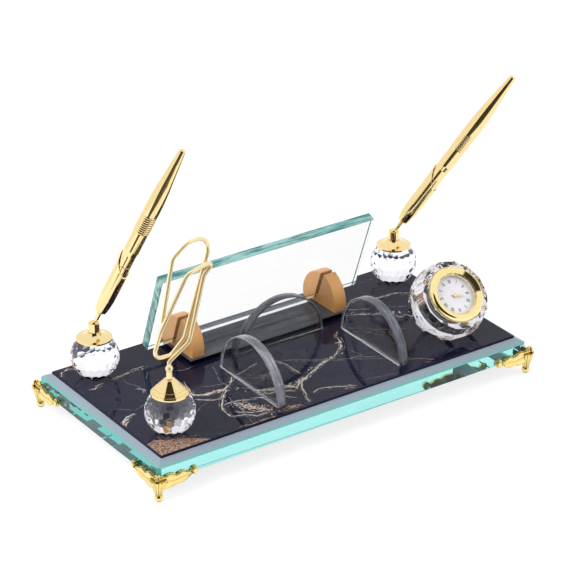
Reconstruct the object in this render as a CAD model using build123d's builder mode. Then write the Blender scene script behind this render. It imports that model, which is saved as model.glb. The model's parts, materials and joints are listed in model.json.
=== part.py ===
from build123d import *
import os
from math import cos, pi, radians, sin, sqrt

os.makedirs("parts", exist_ok=True)

# A desk set: a bevelled glass base on four cast feet carries a marble slab with two
# swivelling pens, a memo clip, a clock, a glass name plate and three card stops.
# Millimetres. X runs along the base, -Y is the owner's side, Z is up.
# The origin is the centre of the glass underside.

# Glass base
glass_length = 302.8
glass_width = 150.8
glass_thick = 13.4
glass_corner = 2.5
glass_arris = 0.5
bevel_wide = 6.4
bevel_drop = 3.2

# Marble slab, which fills the flat top of the glass inside its bevel
slab_thick = 1.8
slab_edge = 0.4
slab_length = glass_length - 2 * bevel_wide
slab_width = glass_width - 2 * bevel_wide
slab_top = glass_thick + slab_thick

# Cast corner feet
foot_drop = 12.5
foot_wing_length = 29.0
foot_wing_thick = 2.2
foot_wing_rise = 5.6
foot_wing_dip = 4.2
foot_peak_rise = 7.6
foot_relief = 0.6
foot_relief_margin = 1.0
foot_scroll_radius = 2.9
foot_scroll_boss = 1.6
foot_shelf_reach = 11.0
foot_shelf_thick = 2.0
foot_fan_radius = 5.8
foot_fan_rise = 3.2
foot_waist_radius = 3.4
foot_waist_drop = 3.6
foot_neck_radius = 2.2
foot_neck_drop = 7.6
foot_lobes = 12
foot_lobe_depth = 0.12
foot_ball_radius = 2.9
foot_ball_flat = 1.7
# Scallops of a wing, as shares of its length with shares of its rise, or of its dip below zero
wing_below = ((0.20, -1.00), (0.42, -0.70), (0.60, -0.75), (0.74, -0.24), (0.80, 0.10), (0.88, 0.20))
wing_above = (
    (0.88, 0.74), (0.78, 0.56), (0.70, 0.64), (0.57, 0.92),
    (0.44, 0.70), (0.28, 1.06), (0.12, 0.92), (0.04, 1.08),
)

# Crystal pieces are cut from a rough ball this many times as large as the depth of their facets
rough_ball = 1.3

# Crystal balls: planar facets in rings, a flat seat below and a flat top
ball_facet_depth = 16.5
ball_center_height = 16.2
ball_top_height = 29.0
ball_facets = 16
ball_rings = (-60, -40, -20, 0, 20, 40)
ball_inset_left = 21.0
ball_inset_right = 18.7
ball_inset_rear = 22.6
memo_inset_left = 21.7
memo_inset_front = 22.6

# Threaded studs that hold the brass caps on the balls
stud_radius = 2.0
stud_in_ball = 5.0
stud_in_cap = 2.4
stud_clear = 0.06

# Pen cap, swivel collar and ball joint
cap_rim_radius = 12.3
cap_rim_thick = 1.0
cap_shoulder = 5.0
cap_neck_radius = 4.5
cap_sag = 0.9
spigot_radius = 2.2
spigot_height = 1.7
collar_radius = 3.9
collar_gap = 0.1
collar_lip = 1.1
pivot_height = 10.5
joint_radius = 3.0
joint_clear = 0.05
joint_neck_radius = 1.1
joint_neck_end = 4.4

# Funnel, by distance along its axis from the pivot
funnel_base = 10.0
funnel_floor = 13.5
funnel_base_radius = 2.4
funnel_shoulder = 12.4
funnel_shoulder_radius = 4.3
funnel_heel_out = 0.75
funnel_heel_up = 0.45
funnel_belly_out = 0.35
funnel_mid = 26.0
funnel_mid_radius = 5.6
funnel_mouth_radius = 5.75
funnel_wall = 0.5
funnel_lip_low = 42.4
funnel_lip_high = 59.2
funnel_roll = -40.0
stem_radius = 1.55

# Pen, by distance along its axis from the pivot
pen_clear = 0.3
pen_nose = 15.2
pen_nose_radius = 1.9
pen_nose_share = 0.4
pen_band_low = 40.8
pen_band_high = 50.3
pen_band_ring = 0.8
pen_band_raise = 0.15
pen_step_end = 63.0
pen_mid_radius = 5.4
pen_rings_low = 77.7
pen_rings_high = 91.8
pen_rings_radius = 5.65
pen_rings_count = 9
pen_ring_depth = 0.3
pen_spigot_radius = 3.0
pen_spigot_clear = 0.05
pen_rear_radius = 5.6
pen_swell = 104.5
pen_swell_radius = 5.5
pen_shank = 118.5
pen_shank_radius = 4.45
pen_tail = 144.0
pen_tail_radius = 2.3
pen_tail_round = 1.7
pen_bore_radius = 1.7
pen_bore_end = 112.0
refill_radius = 1.55
refill_tip_radius = 0.5
refill_tip = 13.8
refill_shoulder = 18.0
refill_end = 110.0

# How each pen stands: lean from upright and heading of the lean, in degrees
left_pen_lean = 25.7
left_pen_heading = -40.7
right_pen_lean = 34.5
right_pen_heading = -32.4

# Memo clip: cone cap, pin with bead, bent wire
cone_rim_radius = 12.6
cone_rim_thick = 0.9
cone_height = 10.6
cone_top_radius = 3.2
cone_round = 1.2
cone_lines = (1.9, 4.0)
cone_line_size = 0.25
pin_radius = 1.6
pin_clear = 0.05
pin_floor = 3.6
pin_neck_radius = 2.0
pin_neck_gap = 0.1
bead_radius = 2.55
bead_height = 17.7
bead_flat = 1.5
wire_radius = 1.4
wire_layer = 3.0
# Corners of the wire: across, layer and height above the bead, with the bend radius at each
wire_corners = (
    ((0.0, 0, 5.0), 2.6),
    ((15.7, 0, 14.9), 8.0),
    ((27.4, 0, 59.1), 5.0),
    ((37.4, 0, 68.1), 1.9),
    ((14.9, 0, 63.0), 9.0),
    ((-5.6, 0, 28.4), 9.0),
    ((-11.0, 0.6, 9.0), 6.0),
    ((3.6, 1.05, 7.3), 6.0),
    ((13.9, 1, 17.0), 7.0),
    ((32.6, 1, 73.0), 9.0),
    ((32.5, 1, 84.2), 7.4),
    ((18.0, 1, 84.0), 14.0),
    ((6.2, 1, 75.4), 6.0),
)
wire_end = (-2.7, 1, 33.0)

# Name plate with its plinth and two half-round wooden brackets
plate_group_x = 3.8
plate_length = 175.4
bracket_inset = 28.1
bracket_radius = 21.6
bracket_wide = 10.2
bracket_raise = 4.2
bracket_edge = 0.5
bracket_spacing = plate_length - 2 * bracket_inset
plinth_margin = 2.4
plinth_length = bracket_spacing + bracket_wide + 2 * plinth_margin
plinth_depth = 46.8
plinth_thick = 3.5
plinth_inset = 0.2
plinth_edge = 0.4
plate_height = 64.2
plate_thick = 7.0
plate_lean = 20.0
plate_arris = 0.5
plate_foot_offset = 3.1
plate_foot_height = 5.5
slot_clear = 0.15

# Card stops: three half-discs of glass round a stack of visiting cards
stop_radius = 35.0
stop_thick = 7.3
stop_arris = 1.0
corral_gap = 93.6
corral_x = 5.6
corral_inset = 8.5
back_stop_radius = 34.5
back_stop_x = 7.4
back_stop_gap = 1.0

# Clock: a faceted crystal with a round insert, reclined to face the owner
clock_inset_right = 35.0
clock_inset_front = 30.5
clock_center_height = 24.5
clock_facet_depth = 26.6
clock_face_offset = 10.8
clock_recline = 45.0
clock_facets = 14
clock_rings = (12, -13, -38, -63)
clock_bore_radius = 18.0
clock_bore_depth = 15.2
case_radius = 17.6
case_depth = 13.0
case_wall = 1.2
grip_low = 8.0
grip_high = 4.5
grip_groove = 0.8
grip_clear = 0.05
bezel_radius = 20.5
bezel_inner_radius = 14.2
bezel_height = 4.0
bezel_lip_radius = 18.6
case_bore_radius = 16.2
bezel_bulge = 0.6
lens_radius = 15.4
lens_thick = 1.0
lens_floor = 1.6
dial_radius = 16.0
dial_thick = 0.6
dial_drop = 1.4
arbor_hole = 1.3
movement_radius = 14.0
movement_thick = 9.2
battery_radius = 5.8
battery_thick = 5.0
battery_offset = 7.0
battery_clear = 0.2
hatch_radius = 6.6
hatch_clear = 0.1
knob_radius = 2.6
knob_height = 1.2
knob_gap = 0.2
knob_offset = 7.5
knob_shaft_radius = 0.8
knob_socket = 2.5
hand_thick = 0.2
hour_hand_level = 0.7
minute_hand_level = 1.4
hour_hand_length = 7.4
minute_hand_length = 10.6
hour_hand_wide = 1.3
minute_hand_wide = 1.0
hand_tail = 2.4
hand_hub_radius = 1.5
hour_pipe_radius = 1.0
hour_pipe_bore = 0.62
hour_pipe_depth = 1.4
minute_shaft_radius = 0.55
minute_shaft_depth = 3.0
arbor_clear = 0.06
hour_hand_angle = 99.0
minute_hand_angle = 112.0


def save(part, name):
    part.label = name
    export_step(part, f"parts/{name}.step")


def half_plane(frame):
    # The plane through a turning axis: radius across, distance along the axis up
    return Plane(frame.origin, x_dir=frame.x_dir, z_dir=-frame.y_dir)


def axis_of(frame):
    return Axis(frame.origin, frame.z_dir)


def turned(frame, outline):
    # A solid turned about the frame's axis from a closed outline of straight sides
    with BuildPart() as piece:
        with BuildSketch(half_plane(frame)):
            with BuildLine():
                Polyline(*outline, close=True)
            make_face()
        revolve(axis=axis_of(frame))
    return piece.part


def unit(azimuth, elevation):
    level = cos(radians(elevation))
    return Vector(level * cos(radians(azimuth)), level * sin(radians(azimuth)), sin(radians(elevation)))


def cut_facets(frame, depth, rings, count):
    # Planar facets ring by ring about the frame's axis, each ring half a facet on from the last
    pitch = 360 / count
    for row, latitude in enumerate(rings):
        for step in range(count):
            turn = unit((step + row % 2 / 2) * pitch, latitude)
            direction = frame.x_dir * turn.X + frame.y_dir * turn.Y + frame.z_dir * turn.Z
            split(bisect_by=Plane(frame.origin + direction * depth, z_dir=direction), keep=Keep.BOTTOM)


# Glass base: square bevelled block with its four upright corners dubbed off
with BuildPart() as glass_base:
    with BuildSketch():
        Rectangle(glass_length, glass_width)
    extrude(amount=glass_thick)
    glass_face = glass_base.faces().sort_by(Axis.Z)[-1]
    chamfer(glass_face.edges(), length=bevel_wide, length2=bevel_drop, reference=glass_face)
    chamfer(glass_base.faces().sort_by(Axis.Z)[0].edges(), length=glass_arris)
    with BuildSketch() as dubbed_outline:
        Rectangle(glass_length, glass_width)
        chamfer(dubbed_outline.vertices(), length=glass_corner)
    extrude(amount=glass_thick, mode=Mode.INTERSECT)
save(glass_base.part, "glass_base")

with BuildPart() as marble_slab:
    with BuildSketch(Plane.XY.offset(glass_thick)):
        Rectangle(slab_length, slab_width)
    extrude(amount=slab_thick)
    chamfer(marble_slab.faces().sort_by(Axis.Z)[-1].edges(), length=slab_edge)
save(marble_slab.part, "marble_slab")


def wing_points(shares):
    return [
        (along * foot_wing_length, share * (foot_wing_rise if share > 0 else foot_wing_dip))
        for along, share in shares
    ]


def wing_sketch():
    # Scalloped scroll outline of one foot wing: along the glass, then up
    heel = (-foot_wing_thick, -foot_wing_dip / 2)
    peak = (-foot_wing_thick, foot_peak_rise)
    below = [heel, *wing_points(wing_below)]
    above = [*wing_points(wing_above), peak]
    with BuildSketch() as wing:
        with BuildLine():
            Line(peak, heel)
            for curve in (below, above):
                for first, middle, last in zip(curve[0::2], curve[1::2], curve[2::2]):
                    ThreePointArc(first, middle, last)
            Line(below[-1], above[0])
        make_face()
    return wing.sketch


def lobed_sketch(radius):
    # A round outline of outward lobes, for the fluted leg
    pitch = 2 * pi / foot_lobes
    inner = radius * (1 - foot_lobe_depth)
    with BuildSketch() as lobed:
        with BuildLine():
            for step in range(foot_lobes):
                first = step * pitch
                middle = first + pitch / 2
                last = first + pitch
                ThreePointArc(
                    (inner * cos(first), inner * sin(first)),
                    (radius * cos(middle), radius * sin(middle)),
                    (inner * cos(last), inner * sin(last)),
                )
        make_face()
    return lobed.sketch


def corner_foot(corner, quarter):
    # One cast foot, drawn for a corner with the glass towards +X and +Y, then turned to its corner
    scroll_x = foot_wing_length - foot_scroll_radius
    scroll_z = foot_wing_rise - foot_scroll_radius
    ball_z = sqrt(foot_ball_radius**2 - foot_ball_flat**2) - foot_drop
    neck_meet = ball_z + sqrt(foot_ball_radius**2 - foot_neck_radius**2)
    room = 2 * foot_wing_length
    with BuildPart() as foot:
        with BuildSketch(Plane.XZ):
            add(wing_sketch())
            with Locations((scroll_x, scroll_z)):
                Circle(foot_scroll_radius)
        extrude(amount=foot_wing_thick)
        with BuildSketch(Plane.XZ.offset(foot_wing_thick)):
            add(wing_sketch())
            offset(amount=-foot_relief_margin)
        extrude(amount=foot_relief)
        with BuildSketch(Plane.XZ.offset(foot_wing_thick)):
            with Locations((scroll_x, scroll_z)):
                Circle(foot_scroll_boss)
        extrude(amount=2 * foot_relief)
        # The second wing is the first one's mirror image across the corner
        mirror(about=Plane((0, 0, 0), z_dir=(1, -1, 0)))
        with BuildSketch(Plane.XY.offset(-foot_shelf_thick)):
            with BuildLine():
                Polyline(
                    (-foot_wing_thick, -foot_wing_thick),
                    (foot_shelf_reach, -foot_wing_thick),
                    (-foot_wing_thick, foot_shelf_reach),
                    close=True,
                )
            make_face()
        extrude(amount=foot_shelf_thick)
        with BuildSketch(Plane.XY.offset(foot_fan_rise)):
            add(lobed_sketch(foot_fan_radius))
        with BuildSketch(Plane.XY.offset(-foot_waist_drop)):
            add(lobed_sketch(foot_waist_radius))
        with BuildSketch(Plane.XY.offset(-foot_neck_drop)):
            add(lobed_sketch(foot_neck_radius))
        loft(ruled=True)
        with BuildSketch(Plane.XY.offset(neck_meet)):
            Circle(foot_neck_radius * (1 - foot_lobe_depth))
        extrude(until=Until.NEXT)
        with Locations((0, 0, ball_z)):
            Sphere(foot_ball_radius)
        split(bisect_by=Plane.XY.offset(-foot_drop), keep=Keep.TOP)
        with BuildSketch():
            with BuildLine():
                Polyline(
                    (glass_corner, 0),
                    (room, 0),
                    (room, room),
                    (0, room),
                    (0, glass_corner),
                    close=True,
                )
            make_face()
        extrude(amount=room, mode=Mode.SUBTRACT)
    return foot.part.rotate(Axis.Z, 90 * quarter).translate(corner)


feet = (
    ("front_left_foot", (-1, -1), 0),
    ("front_right_foot", (1, -1), 1),
    ("rear_right_foot", (1, 1), 2),
    ("rear_left_foot", (-1, 1), 3),
)
for foot_name, (side_x, side_y), foot_quarter in feet:
    foot_corner = (side_x * glass_length / 2, side_y * glass_width / 2, 0)
    save(corner_foot(foot_corner, foot_quarter), foot_name)


def crystal_ball(spot):
    # A faceted ball with a drilled flat top, standing on its small flat seat
    frame = Plane((spot[0], spot[1], slab_top + ball_center_height))
    top = Plane((spot[0], spot[1], slab_top + ball_top_height))
    with BuildPart() as ball:
        with Locations(frame.origin):
            Sphere(rough_ball * ball_facet_depth)
        cut_facets(frame, ball_facet_depth, ball_rings, ball_facets)
        split(bisect_by=top, keep=Keep.BOTTOM)
        split(bisect_by=Plane.XY.offset(slab_top), keep=Keep.TOP)
        with BuildSketch(top):
            Circle(stud_radius + stud_clear)
        extrude(amount=-stud_in_ball, mode=Mode.SUBTRACT)
    return ball.part


def fixing_stud(spot):
    with BuildPart() as stud:
        with BuildSketch(Plane((spot[0], spot[1], slab_top + ball_top_height - stud_in_ball))):
            Circle(stud_radius)
        extrude(amount=stud_in_ball + stud_in_cap)
    return stud.part


def pen_cap(spot):
    # A low concave bell with a spigot for the collar and a blind hole for the stud
    frame = Plane((spot[0], spot[1], slab_top + ball_top_height))
    bore = stud_radius + stud_clear
    spigot_top = cap_shoulder + spigot_height
    middle_radius = (cap_rim_radius + cap_neck_radius) / 2 - cap_sag / 2
    middle_height = (cap_rim_thick + cap_shoulder) / 2 - cap_sag
    with BuildPart() as cap:
        with BuildSketch(half_plane(frame)):
            with BuildLine():
                Polyline((bore, stud_in_cap), (bore, 0), (cap_rim_radius, 0), (cap_rim_radius, cap_rim_thick))
                ThreePointArc(
                    (cap_rim_radius, cap_rim_thick),
                    (middle_radius, middle_height),
                    (cap_neck_radius, cap_shoulder),
                )
                Polyline(
                    (cap_neck_radius, cap_shoulder),
                    (spigot_radius, cap_shoulder),
                    (spigot_radius, spigot_top),
                    (0, spigot_top),
                    (0, stud_in_cap),
                    (bore, stud_in_cap),
                )
            make_face()
        revolve(axis=axis_of(frame))
    return cap.part


def swivel_collar(spot):
    # The sleeve that turns on the cap's spigot and grips the ball of the pen's stem
    frame = Plane((spot[0], spot[1], slab_top + ball_top_height))
    base = cap_shoulder + collar_gap
    with BuildPart() as collar:
        with BuildSketch(frame.offset(base)):
            Circle(collar_radius)
        extrude(amount=pivot_height + collar_lip - base)
        with BuildSketch(frame.offset(base)):
            Circle(spigot_radius + joint_clear)
        extrude(amount=spigot_height, mode=Mode.SUBTRACT)
        with Locations(frame.offset(pivot_height).origin):
            Sphere(joint_radius + joint_clear, mode=Mode.SUBTRACT)
    return collar.part


def ball_stem(frame):
    # The ball of the joint with its neck and the stem that holds the funnel
    neck_start = sqrt(joint_radius**2 - joint_neck_radius**2)
    stem_end = funnel_floor - funnel_wall
    with BuildPart() as stem:
        with BuildSketch(half_plane(frame)):
            with BuildLine():
                ThreePointArc((0, -joint_radius), (joint_radius, 0), (joint_neck_radius, neck_start))
                Polyline(
                    (joint_neck_radius, neck_start),
                    (joint_neck_radius, joint_neck_end),
                    (stem_radius, joint_neck_end),
                    (stem_radius, stem_end),
                    (0, stem_end),
                    (0, -joint_radius),
                )
            make_face()
        revolve(axis=axis_of(frame))
    return stem.part


belly = (funnel_shoulder + funnel_mid) / 2
belly_radius = (funnel_shoulder_radius + funnel_mid_radius) / 2 + funnel_belly_out


def funnel(frame):
    # A thin cup for the pen, its mouth cut aslant: low on the side that the pen leans to
    bore = stem_radius + joint_clear
    inner_low = funnel_shoulder_radius - funnel_wall
    inner_mid = funnel_mid_radius - funnel_wall
    inner_top = funnel_mouth_radius - funnel_wall
    roll = radians(funnel_roll)
    short_side = frame.x_dir * cos(roll) + frame.y_dir * sin(roll)
    lip_rise = funnel_lip_high - funnel_lip_low
    heel_radius = funnel_base_radius + funnel_heel_out * (funnel_shoulder_radius - funnel_base_radius)
    heel = funnel_base + funnel_heel_up * (funnel_shoulder - funnel_base)
    slant = frame.z_dir * (2 * funnel_mouth_radius) + short_side * lip_rise
    lip_middle = frame.origin + frame.z_dir * ((funnel_lip_low + funnel_lip_high) / 2)
    with BuildPart() as cup:
        with BuildSketch(half_plane(frame)):
            with BuildLine():
                Polyline((bore, funnel_floor), (bore, funnel_base), (funnel_base_radius, funnel_base))
                ThreePointArc(
                    (funnel_base_radius, funnel_base),
                    (heel_radius, heel),
                    (funnel_shoulder_radius, funnel_shoulder),
                )
                ThreePointArc(
                    (funnel_shoulder_radius, funnel_shoulder),
                    (belly_radius, belly),
                    (funnel_mid_radius, funnel_mid),
                )
                Polyline(
                    (funnel_mid_radius, funnel_mid),
                    (funnel_mouth_radius, funnel_lip_high),
                    (inner_top, funnel_lip_high),
                    (inner_mid, funnel_mid),
                )
                ThreePointArc(
                    (inner_mid, funnel_mid),
                    (belly_radius - funnel_wall, belly),
                    (inner_low, funnel_floor),
                )
                Line((inner_low, funnel_floor), (bore, funnel_floor))
            make_face()
        revolve(axis=axis_of(frame))
        split(bisect_by=Plane(lip_middle, z_dir=slant), keep=Keep.BOTTOM)
    return cup.part


def pen_front(frame):
    # The writing end: a nose inside the funnel, two raised rings at the mouth, and a spigot above
    gap = funnel_wall + pen_clear
    mid_radius = funnel_mid_radius - gap
    mouth_radius = funnel_mouth_radius - gap
    low_radius = funnel_shoulder_radius - gap
    spigot = pen_spigot_radius - pen_spigot_clear
    with BuildPart() as barrel:
        with BuildSketch(half_plane(frame)):
            with BuildLine():
                fitted = ThreePointArc(
                    (low_radius, funnel_floor),
                    (belly_radius - gap, belly),
                    (mid_radius, funnel_mid),
                    mode=Mode.PRIVATE,
                )
                add(fitted.trim(pen_nose_share, 1))
                Polyline(
                    (pen_bore_radius, pen_rings_high),
                    (pen_bore_radius, pen_nose),
                    (pen_nose_radius, pen_nose),
                    fitted @ pen_nose_share,
                )
                Polyline(
                    (mid_radius, funnel_mid),
                    (mouth_radius, funnel_lip_high),
                    (pen_mid_radius, pen_step_end),
                    (pen_mid_radius, pen_rings_low),
                    (spigot, pen_rings_low),
                    (spigot, pen_rings_high),
                    (pen_bore_radius, pen_rings_high),
                )
            make_face()
            for band_end in (pen_band_low, pen_band_high):
                share = (band_end - funnel_mid) / (funnel_lip_high - funnel_mid)
                surface = mid_radius + share * (mouth_radius - mid_radius)
                with Locations((surface + pen_band_raise - pen_band_ring / 2, band_end)):
                    Circle(pen_band_ring / 2)
        revolve(axis=axis_of(frame))
    return barrel.part


def pen_ring_band(frame):
    # A sleeve of turned rings over the spigot, with a groove between each two
    pitch = (pen_rings_high - pen_rings_low) / pen_rings_count
    groove = pen_rings_radius - pen_ring_depth
    with BuildPart() as sleeve:
        with BuildSketch(half_plane(frame)):
            with BuildLine():
                Polyline(
                    (groove, pen_rings_high),
                    (pen_spigot_radius, pen_rings_high),
                    (pen_spigot_radius, pen_rings_low),
                    (groove, pen_rings_low),
                )
                for ring in range(pen_rings_count):
                    low = pen_rings_low + ring * pitch
                    ThreePointArc((groove, low), (pen_rings_radius, low + pitch / 2), (groove, low + pitch))
            make_face()
        revolve(axis=axis_of(frame))
    return sleeve.part


def pen_rear(frame):
    # The slim tail of the pen, bored for the refill
    with BuildPart() as barrel:
        with BuildSketch(half_plane(frame)):
            with BuildLine():
                Polyline(
                    (0, pen_bore_end),
                    (pen_bore_radius, pen_bore_end),
                    (pen_bore_radius, pen_rings_high),
                    (pen_rear_radius, pen_rings_high),
                )
                ThreePointArc(
                    (pen_rear_radius, pen_rings_high),
                    (pen_swell_radius, pen_swell),
                    (pen_shank_radius, pen_shank),
                )
                Polyline(
                    (pen_shank_radius, pen_shank),
                    (pen_tail_radius, pen_tail),
                    (0, pen_tail),
                    (0, pen_bore_end),
                )
            make_face()
        revolve(axis=axis_of(frame))
        fillet(barrel.faces().sort_by(axis_of(frame))[-1].edges(), radius=pen_tail_round)
    return barrel.part


def pen_refill(frame):
    return turned(
        frame,
        (
            (0, refill_tip),
            (refill_tip_radius, refill_tip),
            (refill_tip_radius, pen_nose),
            (refill_radius, refill_shoulder),
            (refill_radius, refill_end),
            (0, refill_end),
        ),
    )


def pen_station(side, spot, lean, heading):
    # Everything that one pen needs, from the crystal ball up
    pivot = Vector(spot[0], spot[1], slab_top + ball_top_height + pivot_height)
    axis = unit(heading, 90 - lean)
    frame = Plane(pivot, x_dir=unit(heading, -lean), z_dir=axis)
    save(crystal_ball(spot), f"{side}_crystal_ball")
    save(fixing_stud(spot), f"{side}_cap_stud")
    save(pen_cap(spot), f"{side}_pen_cap")
    save(swivel_collar(spot), f"{side}_swivel_collar")
    save(ball_stem(frame), f"{side}_ball_stem")
    save(funnel(frame), f"{side}_pen_funnel")
    save(pen_front(frame), f"{side}_pen_front_barrel")
    save(pen_ring_band(frame), f"{side}_pen_ring_band")
    save(pen_rear(frame), f"{side}_pen_rear_barrel")
    save(pen_refill(frame), f"{side}_pen_refill")


left_spot = (-slab_length / 2 + ball_inset_left, slab_width / 2 - ball_inset_rear)
right_spot = (slab_length / 2 - ball_inset_right, slab_width / 2 - ball_inset_rear)
memo_spot = (-slab_length / 2 + memo_inset_left, -slab_width / 2 + memo_inset_front)
pen_station("left", left_spot, left_pen_lean, left_pen_heading)
pen_station("right", right_spot, right_pen_lean, right_pen_heading)

# Memo clip on the front ball
memo_frame = Plane((memo_spot[0], memo_spot[1], slab_top + ball_top_height))
save(crystal_ball(memo_spot), "memo_crystal_ball")
save(fixing_stud(memo_spot), "memo_cap_stud")

with BuildPart() as memo_cone:
    cone_bore = stud_radius + stud_clear
    pin_bore = pin_radius + pin_clear
    with BuildSketch(half_plane(memo_frame)) as cone_section:
        with BuildLine():
            Polyline(
                (0, stud_in_cap),
                (cone_bore, stud_in_cap),
                (cone_bore, 0),
                (cone_rim_radius, 0),
                (cone_rim_radius, cone_rim_thick),
                (cone_top_radius, cone_height),
                (pin_bore, cone_height),
                (pin_bore, pin_floor),
                (0, pin_floor),
                close=True,
            )
        make_face()
        fillet(cone_section.vertices().group_by(Axis.Y)[-1].sort_by(Axis.X)[-1], radius=cone_round)
    revolve(axis=axis_of(memo_frame))
    cone_slope = (cone_rim_radius - cone_top_radius) / (cone_height - cone_rim_thick)
    with BuildSketch(half_plane(memo_frame)):
        for line_height in cone_lines:
            with Locations((cone_rim_radius - cone_slope * (line_height - cone_rim_thick), line_height)):
                Circle(cone_line_size)
    revolve(axis=axis_of(memo_frame), mode=Mode.SUBTRACT)
save(memo_cone.part, "memo_cone")

with BuildPart() as clip_pin:
    neck_low = cone_height + pin_neck_gap
    neck_high = bead_height - sqrt(bead_radius**2 - pin_neck_radius**2)
    bead_top = bead_height + sqrt(bead_radius**2 - bead_flat**2)
    with BuildSketch(half_plane(memo_frame)):
        with BuildLine():
            Polyline(
                (0, bead_top),
                (0, pin_floor + pin_neck_gap),
                (pin_radius, pin_floor + pin_neck_gap),
                (pin_radius, neck_low),
                (pin_neck_radius, neck_low),
                (pin_neck_radius, neck_high),
            )
            ThreePointArc((pin_neck_radius, neck_high), (bead_radius, bead_height), (bead_flat, bead_top))
            Line((bead_flat, bead_top), (0, bead_top))
        make_face()
    revolve(axis=axis_of(memo_frame))
save(clip_pin.part, "clip_pin")

with BuildPart() as clip_wire:
    bead_center = memo_frame.origin + Vector(0, 0, bead_height)
    wire_root = memo_frame.origin + Vector(0, 0, bead_top)
    route = [wire_root]
    for (across, layer, up), bend in wire_corners:
        route.append(bead_center + Vector(across, layer * wire_layer, up))
    route.append(bead_center + Vector(wire_end[0], wire_end[1] * wire_layer, wire_end[2]))
    with BuildLine() as wire_path:
        FilletPolyline(*route, radius=[bend for corner, bend in wire_corners])
    with BuildSketch(Plane(wire_root, z_dir=wire_path.wires()[0] % 0)):
        Circle(wire_radius)
    sweep(path=wire_path.wires()[0])
wire_length = wire_path.wires()[0].length
wire_fill = clip_wire.part.volume / (wire_length * pi * wire_radius**2)
print("clip wire length", wire_length, "volume over section times length", wire_fill)
save(clip_wire.part, "clip_wire")

# Name plate group
plinth_y = slab_width / 2 - plinth_inset - plinth_depth / 2
bracket_base = slab_top + plinth_thick
plate_frame = Plane(
    (plate_group_x, plinth_y + plate_foot_offset, bracket_base + plate_foot_height),
    x_dir=(1, 0, 0),
    z_dir=(0, -sin(radians(plate_lean)), cos(radians(plate_lean))),
)

with BuildPart() as plate_plinth:
    with BuildSketch(Plane((plate_group_x, plinth_y, slab_top))):
        Rectangle(plinth_length, plinth_depth)
    extrude(amount=plinth_thick)
    chamfer(plate_plinth.faces().sort_by(Axis.Z)[-1].edges(), length=plinth_edge)
save(plate_plinth.part, "plate_plinth")


def plate_bracket(across):
    # A round block, flat below its middle, with a leaning slot for the plate
    side = Plane((across, plinth_y, bracket_base), x_dir=(0, 1, 0), z_dir=(1, 0, 0))
    with BuildPart() as bracket:
        with BuildSketch(side):
            with Locations((0, bracket_raise)):
                Circle(bracket_radius)
            above_flat = (Align.CENTER, Align.MIN)
            Rectangle(2 * bracket_radius, 2 * bracket_radius, align=above_flat, mode=Mode.INTERSECT)
        extrude(amount=bracket_wide / 2, both=True)
        chamfer(bracket.edges().filter_by(GeomType.CIRCLE), length=bracket_edge)
        with BuildSketch(plate_frame):
            Rectangle(2 * plate_length, plate_thick + 2 * slot_clear)
        extrude(amount=plate_height, mode=Mode.SUBTRACT)
    return bracket.part


save(plate_bracket(plate_group_x - bracket_spacing / 2), "left_plate_bracket")
save(plate_bracket(plate_group_x + bracket_spacing / 2), "right_plate_bracket")

with BuildPart() as name_plate:
    with BuildSketch(plate_frame):
        Rectangle(plate_length, plate_thick)
    extrude(amount=plate_height)
    chamfer(name_plate.edges(), length=plate_arris)
save(name_plate.part, "name_plate")


def card_stop(frame, radius):
    # A half-disc of glass standing on its straight edge
    with BuildPart() as stop:
        with BuildSketch(frame):
            Circle(radius)
            upper_half = (Align.CENTER, Align.MIN)
            Rectangle(2 * radius, radius, align=upper_half, mode=Mode.INTERSECT)
        extrude(amount=stop_thick / 2, both=True)
        chamfer(stop.edges().filter_by(GeomType.CIRCLE), length=stop_arris)
    return stop.part


stop_y = -slab_width / 2 + corral_inset + stop_radius
stop_offset = corral_gap / 2 + stop_thick / 2
back_stop_y = plinth_y - plinth_depth / 2 - back_stop_gap - stop_thick / 2
left_stop = Plane((corral_x - stop_offset, stop_y, slab_top), x_dir=(0, 1, 0), z_dir=(1, 0, 0))
right_stop = Plane((corral_x + stop_offset, stop_y, slab_top), x_dir=(0, 1, 0), z_dir=(1, 0, 0))
back_stop = Plane((back_stop_x, back_stop_y, slab_top), x_dir=(1, 0, 0), z_dir=(0, -1, 0))
save(card_stop(left_stop, stop_radius), "left_card_stop")
save(card_stop(right_stop, stop_radius), "right_card_stop")
save(card_stop(back_stop, back_stop_radius), "back_card_stop")

# Clock. Its face frame has Z out of the dial, Y to twelve o'clock and its origin on the crystal's flat
clock_center = Vector(
    slab_length / 2 - clock_inset_right,
    -slab_width / 2 + clock_inset_front,
    slab_top + clock_center_height,
)
clock_normal = Vector(0, -sin(radians(clock_recline)), cos(radians(clock_recline)))
clock_body = Plane(clock_center, x_dir=(1, 0, 0), z_dir=clock_normal)
face = clock_body.offset(clock_face_offset)

with BuildPart() as clock_crystal:
    with Locations(clock_center):
        Sphere(rough_ball * clock_facet_depth)
    cut_facets(clock_body, clock_facet_depth, clock_rings, clock_facets)
    split(bisect_by=face, keep=Keep.BOTTOM)
    split(bisect_by=clock_body.offset(-clock_facet_depth), keep=Keep.TOP)
    split(bisect_by=Plane.XY.offset(slab_top), keep=Keep.TOP)
    with BuildSketch(face):
        Circle(clock_bore_radius)
    extrude(amount=-clock_bore_depth, mode=Mode.SUBTRACT)
save(clock_crystal.part, "clock_crystal")

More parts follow.
